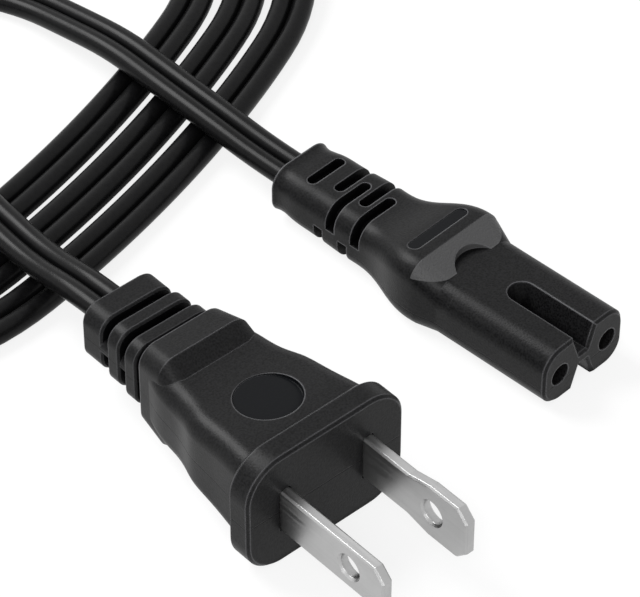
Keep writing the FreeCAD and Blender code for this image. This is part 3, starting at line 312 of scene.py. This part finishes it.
@dataclass(frozen=True)
class BlackPlastic(Finish):
    """Black moulded or extruded plastic: its colour, sheen, grain, painted rim highlights, parting line and
    special places.

    Lengths are in metres. The pairs are the limits between which a value fades in: the grain's height for the
    speckle, the cloud's value for the roughness, and how open a place is for the painted shade, which takes
    the speckle and the sheen out of slots and recesses, and for the painted rim highlights.
    """

    colour: Colour = (0.0018, 0.0018, 0.0020, 1.0)
    light_colour: Colour = (0.0085, 0.0085, 0.0089, 1.0)
    speckle: tuple[float, float] = (0.35, 0.60)
    roughness: tuple[float, float] = (0.34, 0.42)
    cloud: tuple[float, float] = (0.35, 0.65)
    sheen_level: float = 0.11
    painted_shade_openness: tuple[float, float] = (0.35, 0.85)
    shade_distance: float = 0.0020
    grain_size: float = 3900.0
    grain_depth: float = 0.00003
    grain_strength: float = 0.7
    edge_radius: float = 0.00035
    rim_highlights: bool = True
    # Painted highlight laid on the open outer edges.
    rim_highlight_colour: Colour = (0.11, 0.11, 0.115, 1.0)
    rim_turn: tuple[float, float] = (0.90, 0.985)
    rim_openness: tuple[float, float] = (0.75, 0.92)
    parting: PartingLine | None = None
    panel: Panel | None = None
    shaded_sunk_floor: ShadedSunkFloor | None = None

    def rim_highlight(
        self, graph: ShaderGraph, soft: bpy.types.NodeSocket, openness: bpy.types.NodeSocket
    ) -> bpy.types.NodeSocket:
        """Return 1 on the outer edges, where the softened normal leaves the face's own, and 0 elsewhere;
        there a highlight is painted.
        """
        facing = graph.node("ShaderNodeNewGeometry").outputs["Normal"]
        both = graph.node("ShaderNodeVectorMath", operation="DOT_PRODUCT", inputs={0: facing, 1: soft})
        edge = graph.span(both.outputs["Value"], *self.rim_turn, 1.0, 0.0)
        return graph.math("MULTIPLY", edge, graph.span(openness, *self.rim_openness))

    def inputs(self, graph: ShaderGraph) -> dict[str, object]:
        """Build the plastic's surface and return what its shader's inputs take."""
        grain = graph.node(
            "ShaderNodeGroup", node_tree=MouldedGrain().group(), inputs={"Grain size": self.grain_size}
        )
        cloud, height = grain.outputs["Cloud"], grain.outputs["Height"]
        inputs = {"Distance": self.shade_distance}
        # Painted shade: where ambient occlusion finds a slot or recess, the speckle and the sheen are taken
        # out.
        openness = graph.node("ShaderNodeAmbientOcclusion", samples=8, inputs=inputs).outputs["AO"]
        unshaded_share = graph.span(openness, *self.painted_shade_openness)
        speckle = graph.math("MULTIPLY", graph.span(height, *self.speckle), unshaded_share)
        colour = graph.blend(speckle, self.colour, self.light_colour)
        rough = graph.span(cloud, *self.cloud, *self.roughness)
        place = graph.node("ShaderNodeSeparateXYZ", inputs={0: graph.place()})
        if self.panel:
            mask = self.panel.mask(graph, place)
            colour = graph.blend(mask, colour, self.panel.colour)
            height = graph.math("MULTIPLY", height, graph.span(mask, 0.0, 1.0, 1.0, self.panel.grain_gain))
        # Painted shade darkens the recess floor; its lower roughness is the floor's polish.
        if self.shaded_sunk_floor:
            mask = self.shaded_sunk_floor.mask(graph, place)
            colour = graph.blend(mask, colour, self.shaded_sunk_floor.colour)
            share = graph.span(mask, 0.0, 1.0, 1.0, self.shaded_sunk_floor.roughness_share)
            rough = graph.math("MULTIPLY", rough, share)
        if self.parting:
            mask = self.parting.mask(graph, place)
            colour = graph.blend(mask, colour, self.parting.colour)
            height = graph.math("SUBTRACT", height, graph.math("MULTIPLY", mask, self.parting.depth))
        soft = graph.node("ShaderNodeBevel", samples=6, inputs={"Radius": self.edge_radius}).outputs[0]
        # Painted highlight: a pale colour on the open outer edges, in place of light caught by their
        # rounding.
        if self.rim_highlights:
            colour = graph.blend(self.rim_highlight(graph, soft, openness), colour, self.rim_highlight_colour)
        inputs = {
            "Strength": self.grain_strength,
            "Distance": self.grain_depth,
            "Height": height,
            "Normal": soft,
        }
        return {
            "Base Color": colour,
            "Roughness": rough,
            # The sheen, lowered by the painted shade in slots and recesses.
            "Specular IOR Level": graph.math("MULTIPLY", unshaded_share, self.sheen_level),
            "Normal": graph.node("ShaderNodeBump", inputs=inputs).outputs[0],
        }


@dataclass(frozen=True)
class DrawnMetal(Finish):
    """Plated or bare metal with fine marks along one direction. Lengths are in metres."""

    colour: Colour
    worn_colour: Colour
    roughness: tuple[float, float] = (0.28, 0.42)
    turn: float = 0.0
    stretch: tuple[float, float, float] = (2600.0, 90.0, 2600.0)
    marks: tuple[float, float] = (0.3, 0.7)
    mark_detail: float = 4.0
    mark_depth: float = 0.000012
    mark_strength: float = 0.25
    cloud_size: float = 160.0
    cloud_detail: float = 3.0
    cloud: tuple[float, float] = (0.35, 0.7)
    edge_radius: float = 0.00012

    def inputs(self, graph: ShaderGraph) -> dict[str, object]:
        """Build the metal's surface and return what its shader's inputs take."""
        place = graph.place()
        inputs = {"Vector": place, "Rotation": (0.0, 0.0, self.turn)}
        turned = graph.node("ShaderNodeMapping", inputs=inputs).outputs[0]
        inputs = {"Vector": turned, "Scale": self.stretch}
        along = graph.node("ShaderNodeMapping", inputs=inputs).outputs[0]
        marks = graph.noise(along, 1.0, self.mark_detail)
        cloud = graph.noise(place, self.cloud_size, self.cloud_detail)
        colour = graph.blend(graph.span(cloud, *self.cloud), self.colour, self.worn_colour)
        rough = graph.span(marks, *self.marks, *self.roughness)
        soft = graph.node("ShaderNodeBevel", samples=4, inputs={"Radius": self.edge_radius}).outputs[0]
        inputs = {
            "Strength": self.mark_strength,
            "Distance": self.mark_depth,
            "Height": marks,
            "Normal": soft,
        }
        return {
            "Metallic": 1.0,
            "Base Color": colour,
            "Roughness": rough,
            "Normal": graph.node("ShaderNodeBump", inputs=inputs).outputs[0],
        }


@dataclass(frozen=True)
class NaturalPlastic(Finish):
    """Uncoloured hard plastic of the inner carriers, faintly speckled."""

    name: str = "natural_plastic"
    colour: Colour = (0.62, 0.60, 0.54, 1.0)
    speck_colour: Colour = (0.50, 0.47, 0.41, 1.0)
    speck_size: float = 900.0
    speck_detail: float = 5.0
    specks: tuple[float, float] = (0.55, 0.75)
    patches: tuple[float, float] = (0.3, 0.7)
    roughness: tuple[float, float] = (0.38, 0.52)

    def inputs(self, graph: ShaderGraph) -> dict[str, object]:
        """Build the plastic's surface and return what its shader's inputs take."""
        specks = graph.noise(graph.place(), self.speck_size, self.speck_detail)
        return {
            "Base Color": graph.blend(graph.span(specks, *self.specks), self.colour, self.speck_colour),
            "Roughness": graph.span(specks, *self.patches, *self.roughness),
        }


CONNECTOR_BLACK = BlackPlastic(
    "connector_black",
    parting=PartingLine(height=0.0030),
    panel=Panel(),
    shaded_sunk_floor=ShadedSunkFloor(middle=(0.0, 0.0002), half=(0.0050, 0.0009), least_height=0.0090, power=6.0),
)
PLUG_BLACK = BlackPlastic(
    "plug_black",
    parting=PartingLine(height=0.0085),
    shaded_sunk_floor=ShadedSunkFloor(middle=(-0.0390, -0.00893), half=(0.0042, 0.0042), least_height=0.0130),
)
CORD_BLACK = BlackPlastic(
    "cord_black",
    colour=(0.0030, 0.0030, 0.0032, 1.0),
    light_colour=(0.0045, 0.0045, 0.0047, 1.0),
    roughness=(0.26, 0.33),
    rim_highlights=False,
    grain_size=1500.0,
    grain_depth=0.000012,
    grain_strength=0.2,
    edge_radius=0.00008,
)
PLATED_BLADE = DrawnMetal(
    "plated_blade", (0.44, 0.44, 0.44, 1.0), (0.38, 0.38, 0.38, 1.0), turn=math.radians(4.5)
)
SPRING_BRONZE = DrawnMetal("spring_bronze", (0.76, 0.50, 0.32, 1.0), (0.62, 0.38, 0.24, 1.0))
BARE_COPPER = DrawnMetal("bare_copper", (0.80, 0.42, 0.26, 1.0), (0.66, 0.32, 0.19, 1.0))


@dataclass(frozen=True)
class Lamp:
    """A square lamp: its place and target in millimetres, its side in metres and its power in watts."""

    name: str
    place: tuple[float, float, float]
    size: float
    power: float
    target: tuple[float, float, float] = (-20.0, 10.0, 0.0)

    def build(self) -> None:
        """Create the lamp."""
        lamp = bpy.data.lights.new(self.name, "AREA")
        lamp.size = self.size
        lamp.energy = self.power
        place = mm(*self.place)
        holder = add_object(self.name, lamp)
        holder.location = place
        holder.rotation_euler = (place - mm(*self.target)).to_track_quat("Z", "Y").to_euler()


@dataclass(frozen=True)
class Studio:
    """White floor and world, with a large soft lamp behind and above and a weaker one from the front."""

    floor_size: float = 6.0
    floor_level: float = -0.00003
    floor_colour: Colour = (0.86, 0.86, 0.86, 1.0)
    floor_glow: float = 0.82
    world_level: float = 0.48
    white: Colour = (1.0, 1.0, 1.0, 1.0)
    lamps: tuple[Lamp, ...] = (
        Lamp("back_lamp", (-120.0, 520.0, 560.0), 0.42, 6.5),
        Lamp("front_lamp", (-420.0, -330.0, 420.0), 0.35, 2.6),
    )

    def build(self) -> None:
        """Create the world, the floor and the lamps."""
        self.build_world()
        self.build_floor()
        for lamp in self.lamps:
            lamp.build()

    def build_world(self) -> None:
        """Light the scene evenly and show plain white to the camera and in reflections."""
        world = bpy.data.worlds.new("studio")
        world.use_nodes = True
        bpy.context.scene.world = world
        graph = ShaderGraph(world.node_tree)
        level = graph.span(graph.seen(), 0.0, 1.0, self.world_level, 1.0)
        graph.feed(world.node_tree.nodes["Background"], {"Color": self.white, "Strength": level})

    def build_floor(self) -> None:
        """Make the floor: white where it is seen, with a share of plain diffuse that keeps the shadow."""
        mesh = bpy.data.meshes.new("floor")
        shape = bmesh.new()
        level = Matrix.Translation((0, 0, self.floor_level))
        bmesh.ops.create_grid(shape, x_segments=1, y_segments=1, size=self.floor_size / 2, matrix=level)
        shape.to_mesh(mesh)
        shape.free()
        floor = add_object("floor", mesh)
        material = bpy.data.materials.new("white_floor")
        material.use_nodes = True
        graph = ShaderGraph(material.node_tree)
        nodes = material.node_tree.nodes
        nodes.remove(nodes["Principled BSDF"])
        diffuse = graph.node("ShaderNodeBsdfDiffuse", inputs={"Color": self.floor_colour})
        glow = graph.node("ShaderNodeEmission", inputs={"Color": self.white, "Strength": 1.0})
        share = graph.span(graph.seen(), 0.0, 1.0, 0.0, self.floor_glow)
        inputs = {0: share, 1: diffuse.outputs[0], 2: glow.outputs[0]}
        mixed = graph.node("ShaderNodeMixShader", inputs=inputs)
        graph.feed(nodes["Material Output"], {"Surface": mixed.outputs[0]})
        mesh.materials.append(material)


# Routes of the two free stretches, as in the model's source, in millimetres.
CONNECTOR_ROUTE = (
    (0.0, 24.0, 4.2),
    (0.0, 30.0, 4.2),
    (0.4, 39.0, 4.65),
    (1.2, 50.5, 4.7),
    (2.0, 59.5, 4.6),
    (2.2, 68.6, 3.3),
    (2.3, 78.1, 1.8),
    (-1.2, 87.1, 1.45),
    (-7.8, 94.3, 1.43),
    (-16.5, 98.65, 1.43),
    (-26.25, 99.69, 1.43),
    (-35.1, 96.95, 1.43),
)
PLUG_ROUTE = (
    (22.1, 99.7, 4.35),
    (14.4, 104.2, 4.35),
    (5.7, 105.9, 4.4),
    (-3.1, 104.6, 4.9),
    (-15.4, 97.95, 4.9),
    (-24.6, 87.9, 4.5),
    (-29.5, 75.15, 4.2),
    (-30.4, 64.5, 4.3),
    (-31.5, 55.5, 4.7),
    (-33.0, 45.5, 4.85),
    (-34.9, 35.0, 5.6),
    (-36.33, 24.78, 8.4),
    (-36.82, 18.78, 8.5),
)


@dataclass(frozen=True)
class FlatCord:
    """The twin-lobed flat cord: from the connector through the turns of the coil to the plug.

    Lengths are in millimetres, but for the stated length and the weld in metres, and angles are in degrees.
    In the coil's right end each turn moves out by a lane over a share of the arc. The last turn rises there
    instead, and moves in over the others at a rate in lanes for the whole arc.
    """

    width: float = 5.7
    lobe_radius: float = 1.425
    web: float = 0.62
    side_radius: float = 200.5
    end_radius: float = 30.0
    side_half_angle: float = 8.1
    turn_pitch: float = 6.9
    axis_turn: float = 13.6
    middle: tuple[float, float] = (-10.05, 45.3)
    level: float = 1.43
    turns: int = 3
    first_angle: float = 93.6
    last_angle: float = 394.2
    shift_starts: float = 0.2
    shift_share: float = 0.7
    crossing_rate: float = 3.6
    crossing_level: float = 4.4
    rise_starts: float = 0.04
    rise_share: float = 0.18
    end_step: float = 18.0
    side_step: float = 4.0
    lobe_steps: int = 20
    curve_steps: int = 5
    weld: float = 0.000005
    crease: float = 50.0
    length: float = 1.02

    def arc(self, which: CoilArc) -> tuple[tuple[float, float], float, float, float]:
        """Return an arc of the coil's middle turn: centre, radius, first and last angle in degrees."""
        half, side, end = self.side_half_angle, self.side_radius, self.end_radius
        reach = (side - end) * math.sin(math.radians(half))
        rise = side - (side - end) * math.cos(math.radians(half))
        return {
            CoilArc.FAR_SIDE: ((0.0, 2 * rise - side), side, 90.0 - half, 90.0 + half),
            CoilArc.LEFT_END: ((-reach, rise), end, 90.0 + half, 270.0 - half),
            CoilArc.NEAR_SIDE: ((0.0, side), side, 270.0 - half, 270.0 + half),
            CoilArc.RIGHT_END: ((reach, rise), end, 270.0 + half, 450.0 - half),
        }[which]

    def crosses(self, turn: int, which: CoilArc) -> bool:
        """Tell whether an arc is the one in which the cord crosses over the other turns."""
        return turn == self.turns - 1 and which is CoilArc.RIGHT_END

    def lane(self, turn: int, which: CoilArc, share: float) -> float:
        """Return how far outside the middle turn the cord runs, in turn pitches.

        Args:
            turn: Number of the turn, from 0.
            which: Arc of the turn.
            share: How much of the arc is behind, from 0 to 1.
        """
        lane = turn - (self.turns - 1) / 2
        if which is not CoilArc.RIGHT_END:
            return lane
        if self.crosses(turn, which):
            return lane - self.crossing_rate * max(0.0, share - self.shift_starts)
        shifted = min(1.0, max(0.0, (share - self.shift_starts) / self.shift_share))
        return lane + shifted * shifted * (3 - 2 * shifted)

    def height(self, turn: int, which: CoilArc, share: float) -> float:
        """Return the height of the cord's middle, which rises where the last turn crosses the other two."""
        if not self.crosses(turn, which):
            return self.level
        rise = min(1.0, max(0.0, (share - self.rise_starts) / self.rise_share))
        return self.level + (self.crossing_level - self.level) * rise

    def coil_points(self) -> list[tuple[float, float, float]]:
        """Work out the coil's points turn by turn, from the connector's lead to the plug's."""
        spin = Matrix.Rotation(math.radians(self.axis_turn), 2)
        points = []
        for turn in range(self.turns):
            for which in CoilArc:
                centre, radius, first, last = self.arc(which)
                step = self.end_step if radius == self.end_radius else self.side_step
                count = round((last - first) / step)
                hold = 1 / math.cos(math.radians(step / 2))
                for index in range(count):
                    share = (index + 0.5) / count
                    angle = first + (last - first) * share
                    before_start = turn == 0 and which is CoilArc.FAR_SIDE and angle < self.first_angle
                    past_end = self.crosses(turn, which) and angle > self.last_angle
                    if before_start or past_end:
                        continue
                    out = (radius + self.lane(turn, which, share) * self.turn_pitch) * hold
                    turned = math.radians(angle)
                    flat = Vector((centre[0] + out * math.cos(turned), centre[1] + out * math.sin(turned)))
                    flat = spin @ flat + Vector(self.middle)
                    points.append((flat.x, flat.y, self.height(turn, which, share)))
        return points

    def guide(self) -> bpy.types.Object:
        """Create the cord's centre line as one smooth open spline."""
        points = [*CONNECTOR_ROUTE, *self.coil_points(), *PLUG_ROUTE]
        curve = bpy.data.curves.new("cord_guide", "CURVE")
        curve.dimensions = "3D"
        curve.twist_mode = "Z_UP"
        curve.resolution_u = self.curve_steps
        spline = curve.splines.new("NURBS")
        spline.points.add(len(points) - 1)
        for point, place in zip(spline.points, points):
            point.co = (*mm(*place), 1.0)
        spline.order_u = 3
        spline.use_endpoint_u = True
        return add_object("cord_guide", curve)

    def profile(self) -> bpy.types.Object:
        """Create the cord's section: two round lobes that meet in a narrow web."""
        offset = self.width / 2 - self.lobe_radius
        notch = math.asin(self.web / self.lobe_radius / 2)
        points = []
        for side in (1, -1):
            for index in range(self.lobe_steps + 1):
                angle = -math.pi + notch + (2 * math.pi - 2 * notch) * index / self.lobe_steps
                across = side * (offset + self.lobe_radius * math.cos(angle))
                points.append((across, side * self.lobe_radius * math.sin(angle)))
        curve = bpy.data.curves.new("cord_profile", "CURVE")
        curve.dimensions = "2D"
        spline = curve.splines.new("POLY")
        spline.points.add(len(points) - 1)
        for point, (across, up) in zip(spline.points, points):
            point.co = (across * MM, up * MM, 0.0, 1.0)
        spline.use_cyclic_u = True
        return add_object("cord_profile", curve)

    def build(self) -> bpy.types.Object:
        """Returns:
            The cord's mesh object.
        """
        guide, profile = self.guide(), self.profile()
        path = [vertex.co.copy() for vertex in finished_mesh(guide).vertices]
        LOG.info("cord length %.4f m", sum((b - a).length for a, b in zip(path, path[1:])))
        guide.data.bevel_mode = "OBJECT"
        guide.data.bevel_object = profile
        guide.data.use_fill_caps = True
        mesh = finished_mesh(guide)
        bpy.data.objects.remove(guide)
        bpy.data.objects.remove(profile)
        shape = bmesh.new()
        shape.from_mesh(mesh)
        bmesh.ops.remove_doubles(shape, verts=shape.verts, dist=self.weld)
        bmesh.ops.recalc_face_normals(shape, faces=shape.faces)
        shape.to_mesh(mesh)
        shape.free()
        mesh.shade_smooth()
        mesh.set_sharp_from_angle(angle=math.radians(self.crease))
        cord = add_object("flat_cord", mesh)
        paint(cord, CORD_BLACK)
        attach(cord, "root")
        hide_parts("cord_to_connector", "cord_coil", "cord_to_plug")
        return cord


TRIANGLE_WELD = 0.0000005
FRAME: dict[str, object] = {}


def frame_nodes() -> dict[str, bpy.types.Object]:
    """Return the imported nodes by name."""
    return FRAME["nodes"]


def paint(piece: bpy.types.Object, finish: Finish) -> None:
    """Give a piece a finish in place of its own."""
    piece.data.materials.clear()
    piece.data.materials.append(finish.material())


def dress(name: str, finish: Finish) -> None:
    """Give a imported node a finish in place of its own."""
    paint(frame_nodes()[name], finish)


@dataclass(frozen=True)
class CornerBlend:
    """Envelope in which the shoulder's corners run out into the rounder ones of the nose, in millimetres.

    The nose and the ridge are given by width, height and corner radius. The margin keeps the envelope off the
    faces that it doesn't trim, and behind the ridge it stands clear of the whole connector.
    """

    nose: tuple[float, float, float] = (14.4, 8.4, 3.0)
    ridge: tuple[float, float, float] = (15.95, 10.2, 2.7)
    nose_end: float = -6.0
    ridge_place: float = -2.4
    margin: float = 0.005
    clear: float = 40.0
    corner_steps: int = 12

    def ring(
        self, shape: bmesh.types.BMesh, y: float, width: float, low: float, top: float, radius: float
    ) -> list[bmesh.types.BMVert]:
        """Add the corners of one rounded rectangle that stands across the connector."""
        corners = []
        centres = (
            (width / 2 - radius, top - radius, 0.0),
            (radius - width / 2, top - radius, 90.0),
            (radius - width / 2, low + radius, 180.0),
            (width / 2 - radius, low + radius, 270.0),
        )
        for x, z, first in centres:
            for step in range(self.corner_steps + 1):
                angle = math.radians(first + 90.0 * step / self.corner_steps)
                place = mm(x + radius * math.cos(angle), y, z + radius * math.sin(angle))
                corners.append(shape.verts.new(place))
        return corners

    def build(self) -> bpy.types.Object:
        """Create the envelope as a closed mesh."""
        shape = bmesh.new()
        slack = self.margin
        nose = (self.nose[0] + 2 * slack, -slack, self.nose[1] + slack, self.nose[2])
        ridge = (self.ridge[0] + 2 * slack, -slack, self.ridge[1] + slack, self.ridge[2])
        wide = (self.clear, -self.clear / 2, self.clear / 2, self.ridge[2])
        rings = [
            self.ring(shape, y, *sizes)
            for y, sizes in (
                (-self.clear, nose),
                (self.nose_end, nose),
                (self.ridge_place, ridge),
                (self.ridge_place + slack, wide),
                (self.clear, wide),
            )
        ]
        for ring, following in zip(rings, rings[1:]):
            for index, corner in enumerate(ring):
                shape.faces.new((ring[index - 1], corner, following[index], following[index - 1]))
        shape.faces.new(rings[0])
        shape.faces.new(rings[-1])
        bmesh.ops.recalc_face_normals(shape, faces=shape.faces)
        mesh = bpy.data.meshes.new("corner_envelope")
        shape.to_mesh(mesh)
        shape.free()
        return add_object("corner_envelope", mesh)


def merged_copy(name: str, label: str) -> bpy.types.Object:
    """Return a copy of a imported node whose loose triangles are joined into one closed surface."""
    mesh = frame_nodes()[name].data.copy()
    mesh.name = label
    shape = bmesh.new()
    shape.from_mesh(mesh)
    bmesh.ops.remove_doubles(shape, verts=shape.verts, dist=TRIANGLE_WELD)
    shape.to_mesh(mesh)
    shape.free()
    normals = mesh.attributes.get("custom_normal")
    if normals:
        mesh.attributes.remove(normals)
    return add_object(label, mesh)


def finished_mesh(piece: bpy.types.Object) -> bpy.types.Mesh:
    """Return the mesh that a piece comes to, with its modifiers or its bevel applied."""
    bpy.context.view_layer.update()
    graph = bpy.context.evaluated_depsgraph_get()
    finished = piece.evaluated_get(graph)
    return bpy.data.meshes.new_from_object(finished, preserve_all_data_layers=True, depsgraph=graph)


def shade(piece: bpy.types.Object, angle: float) -> None:
    """Smooth a piece's shading, led by its large faces, but for edges sharper than an angle in degrees."""
    piece.data.shade_smooth()
    piece.data.set_sharp_from_angle(angle=math.radians(angle))
    weighted = piece.modifiers.new("weighted", "WEIGHTED_NORMAL")
    weighted.keep_sharp = True


@dataclass(frozen=True)
class Connector:
    """The figure-eight connector: its moulding, creased at edges above an angle, and what is inside."""

    crease: float = 28.0

    def moulding(self) -> None:
        """Model the visible moulding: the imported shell, trimmed where its shoulder meets the nose."""
        piece = merged_copy("connector_shell", "connector_body")
        envelope = CornerBlend().build()
        trim = piece.modifiers.new("corners", "BOOLEAN")
        trim.operation = "INTERSECT"
        trim.solver = "EXACT"
        trim.object = envelope
        trimmed = finished_mesh(piece)
        piece.modifiers.clear()
        piece.data = trimmed
        bpy.data.objects.remove(envelope)
        paint(piece, CONNECTOR_BLACK)
        shade(piece, self.crease)
        LOG.info("%s: %d faces", piece.name, len(trimmed.polygons))
        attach(piece, "root")
        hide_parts("connector_shell")

    def build(self) -> None:
        """Dress the connector's pieces."""
        self.moulding()
        dress("connector_insert", NaturalPlastic())
        for side in ("left", "right"):
            dress(f"socket_contact_{side}", SPRING_BRONZE)
            dress(f"connector_lead_{side}", CORD_BLACK)
            dress(f"connector_strands_{side}", BARE_COPPER)


def dress_plug() -> None:
    """Dress the two-blade plug's pieces."""
    dress("plug_shell", PLUG_BLACK)
    dress("plug_insert", NaturalPlastic())
    for blade in ("blade_narrow", "blade_wide"):
        dress(blade, PLATED_BLADE)
    for side in ("left", "right"):
        dress(f"plug_lead_{side}", CORD_BLACK)
        dress(f"plug_strands_{side}", BARE_COPPER)


def main() -> None:
    """Build the scene piece by piece, and log the cord's length and the face counts of the cord and the
    connector's moulding.
    """
    logging.basicConfig(level=logging.INFO, format="%(message)s")
    bpy.context.scene.view_settings.view_transform = "Standard"
    FRAME.update(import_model())
    Viewpoint().build()
    Studio().build()
    cord = FlatCord().build()
    LOG.info("%s: %d faces", cord.name, len(cord.data.polygons))
    Connector().build()
    dress_plug()


if __name__ == "__main__":
    main()
